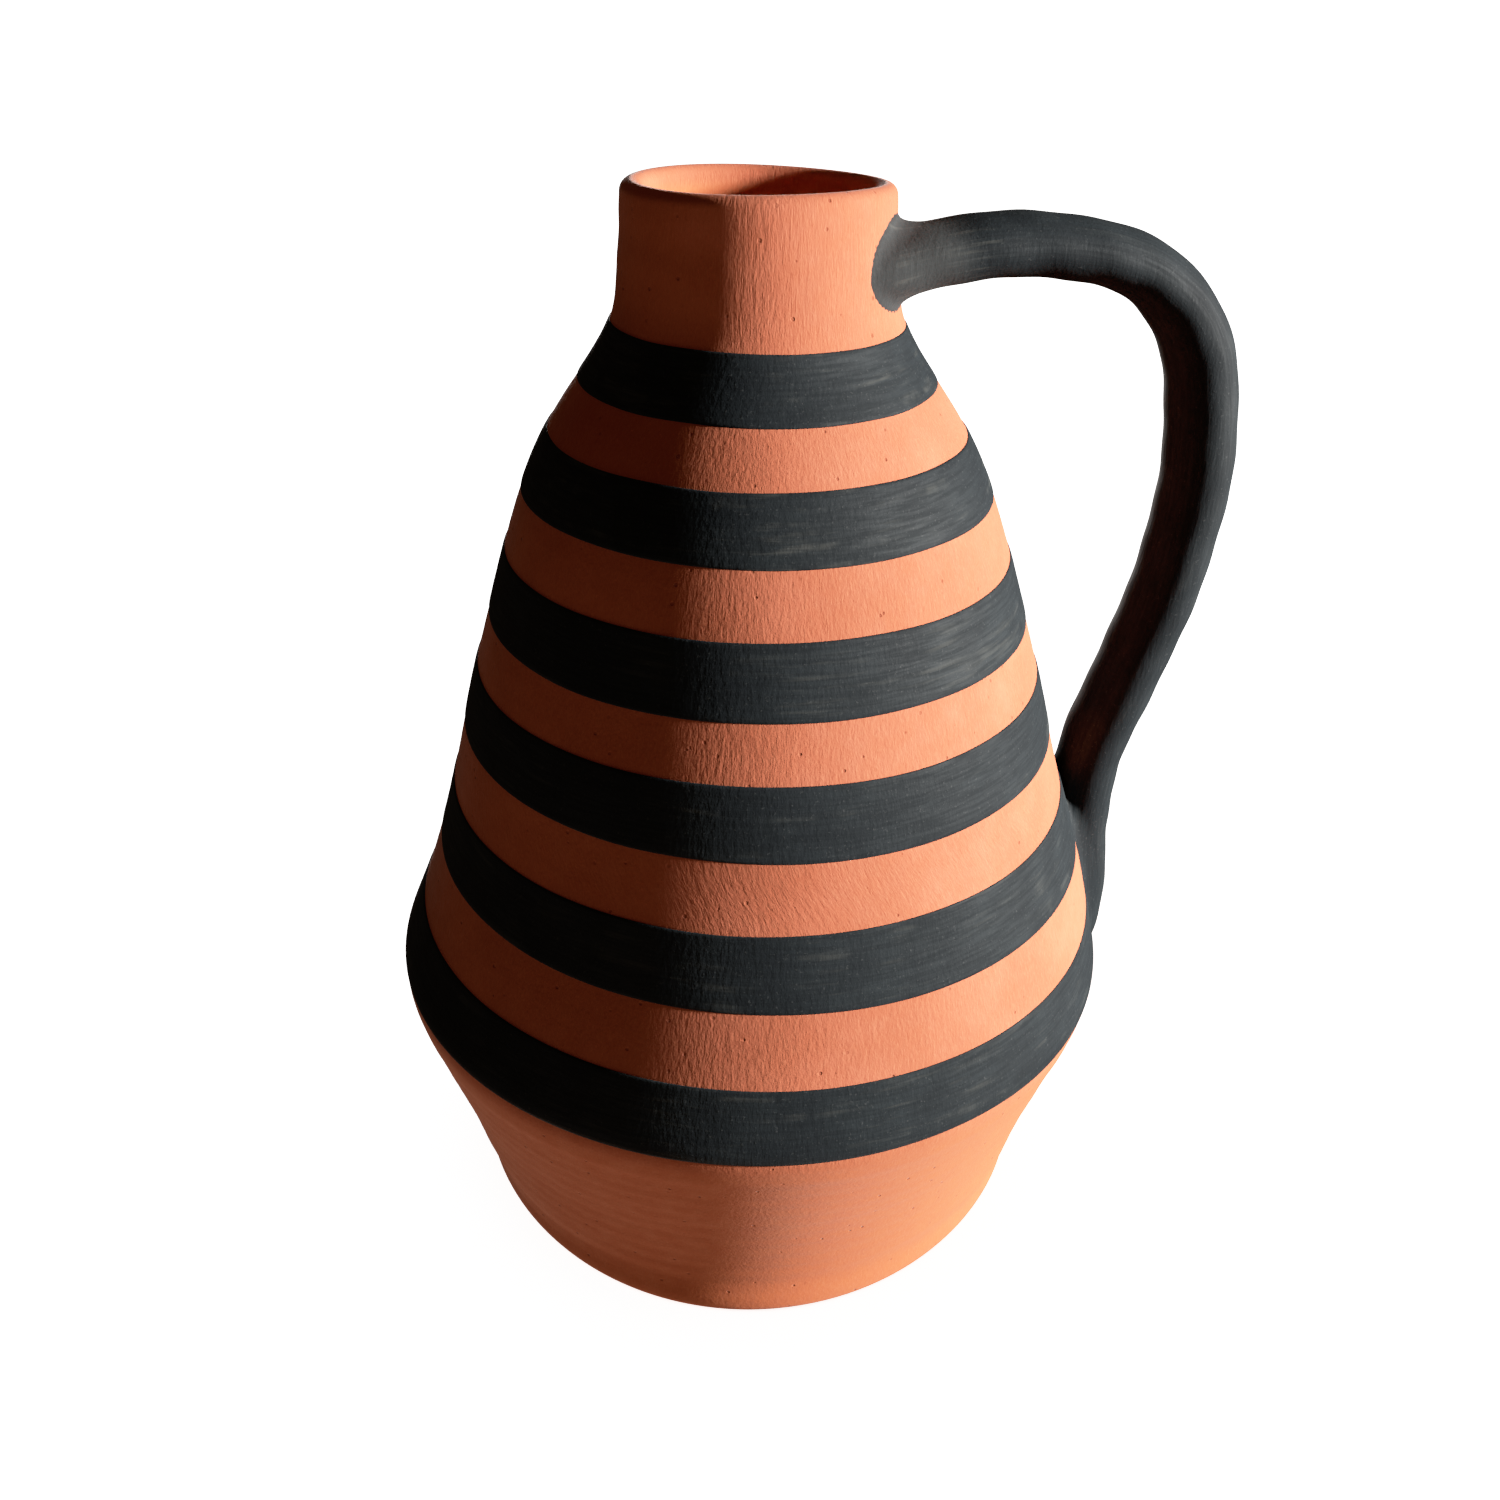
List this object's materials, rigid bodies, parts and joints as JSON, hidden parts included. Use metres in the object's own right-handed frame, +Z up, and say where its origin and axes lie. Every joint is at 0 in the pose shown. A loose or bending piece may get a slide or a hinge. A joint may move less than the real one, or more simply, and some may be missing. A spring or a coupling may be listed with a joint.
{
  "type": "ceramic pitcher",
  "caption": "Tall terracotta pitcher with a short neck, a low wide belly, a pulled side handle and bands of black slip.",
  "frame": {"origin": "centre of the flat foot, on the surface that the pitcher stands on", "axes": "+Z up along the pot's axis, +X towards the handle, +Y to the back when the handle is on the right"},
  "size_m": [0.2139, 0.1958, 0.27],
  "materials": {
    "terracotta": "matte, unglazed, finely scraped",
    "black_slip": "matte to eggshell, brushed on"
  },
  "bodies": {
    "root": {"vessel_body": "terracotta", "handle": "black_slip", "slip_band_1": "black_slip", "slip_band_2": "black_slip", "slip_band_3": "black_slip", "slip_band_4": "black_slip", "slip_band_5": "black_slip", "slip_band_6": "black_slip"}
  },
  "joints": []
}
